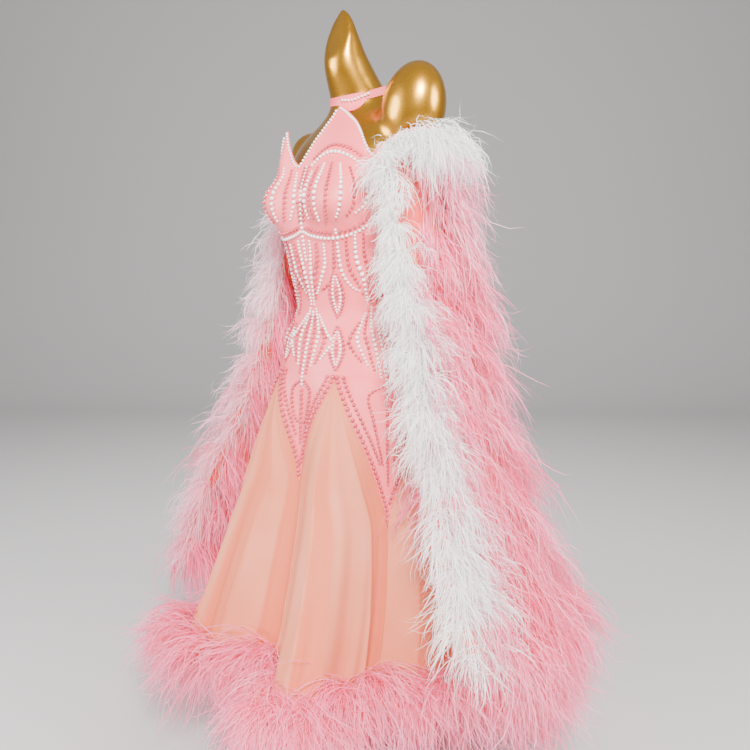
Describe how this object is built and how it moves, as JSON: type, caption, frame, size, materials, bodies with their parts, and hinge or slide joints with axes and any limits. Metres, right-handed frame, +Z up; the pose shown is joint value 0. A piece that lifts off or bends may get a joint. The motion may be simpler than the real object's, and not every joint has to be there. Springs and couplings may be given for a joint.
{
  "type": "ballroom dance dress on a dress form",
  "caption": "Beaded halter ballroom gown with chiffon godets, feather hem and two feathered floats, standing on a limbless dress form.",
  "frame": {"origin": "centre of the stand's underside", "axes": "+Z up, -Y the front of the dress, +X the wearer's left"},
  "size_m": [0.9767, 0.8716, 1.446],
  "materials": {
    "pink_satin": "soft satin",
    "peach_chiffon": "sheer matte",
    "coral_chiffon": "matte",
    "pink_feather": "soft",
    "white_feather": "soft",
    "gold_form": "gloss metallic lacquer",
    "stand_metal": "satin"
  },
  "bodies": {
    "root": {"band_left": "pink_satin", "band_right": "pink_satin", "boa_feathers_left": "white_feather", "boa_feathers_right": "white_feather", "cap_feathers_left": "white_feather", "cap_feathers_right": "white_feather", "collar": "pink_satin", "float_feathers_left_1": "pink_feather", "float_feathers_left_3": "pink_feather", "float_feathers_left_5": "pink_feather", "float_feathers_left_7": "pink_feather", "float_feathers_left_9": "pink_feather", "float_feathers_right_1": "pink_feather", "float_feathers_right_3": "pink_feather", "float_feathers_right_5": "pink_feather", "float_feathers_right_7": "pink_feather", "float_feathers_right_9": "pink_feather", "float_left": "coral_chiffon", "float_right": "coral_chiffon", "form_body": "gold_form", "godet_back": "peach_chiffon", "godet_front_left": "peach_chiffon", "godet_front_right": "peach_chiffon", "godet_side_left": "peach_chiffon", "godet_side_right": "peach_chiffon", "gore_back_left": "pink_satin", "gore_back_right": "pink_satin", "gore_front": "pink_satin", "gore_left": "pink_satin", "gore_right": "pink_satin", "hem_feathers_back": "pink_feather", "hem_feathers_front_left": "pink_feather", "hem_feathers_front_right": "pink_feather", "hem_feathers_side_left": "pink_feather", "hem_feathers_side_right": "pink_feather", "inner_feathers_left_2": "pink_feather", "inner_feathers_left_4": "pink_feather", "inner_feathers_right_3": "pink_feather", "inner_feathers_right_6": "pink_feather", "stand_base": "stand_metal", "stand_pole": "stand_metal"}
  },
  "joints": []
}
